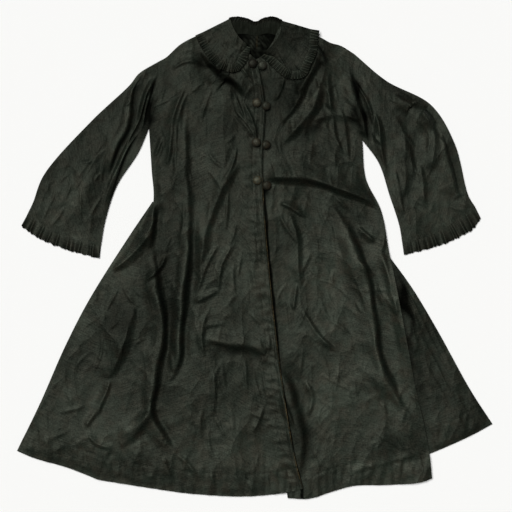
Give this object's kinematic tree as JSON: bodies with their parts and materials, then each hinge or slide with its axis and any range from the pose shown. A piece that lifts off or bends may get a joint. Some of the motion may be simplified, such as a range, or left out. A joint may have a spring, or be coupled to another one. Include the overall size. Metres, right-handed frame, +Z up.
{
  "type": "mourning coat",
  "caption": "Black silk mourning coat with a frilled collar and frilled cuffs, laid flat on its back, front lapped and set with paired cloth buttons",
  "frame": {"origin": "on the surface that the coat lies on, under the middle of its outline", "axes": "+Z up from the surface, +Y towards the neck, +X towards the wearer's left side"},
  "size_m": [1.045, 1.0599, 0.0233],
  "materials": {
    "silk": "black silk taffeta, crisp, with a soft sheen",
    "frill_silk": "the same silk gathered into narrow frills",
    "button_silk": "silk stretched over a domed mould"
  },
  "bodies": {
    "root": {"back": "silk", "right_side_panel": "silk", "left_side_panel": "silk", "left_front": "silk", "right_front": "silk", "right_sleeve_top": "silk", "right_sleeve_under": "silk", "left_sleeve_top": "silk", "left_sleeve_under": "silk", "right_cuff_frill_top": "frill_silk", "right_cuff_frill_under": "frill_silk", "left_cuff_frill_top": "frill_silk", "left_cuff_frill_under": "frill_silk", "collar_fall": "silk", "collar_stand": "silk", "neck_frill": "frill_silk", "collar_right": "silk", "collar_right_frill": "frill_silk", "collar_left": "silk", "collar_left_frill": "frill_silk", "button_front_1": "button_silk", "button_edge_1": "button_silk", "button_front_2": "button_silk", "button_edge_2": "button_silk", "button_front_3": "button_silk", "button_edge_3": "button_silk", "button_front_4": "button_silk", "button_edge_4": "button_silk"}
  },
  "joints": []
}
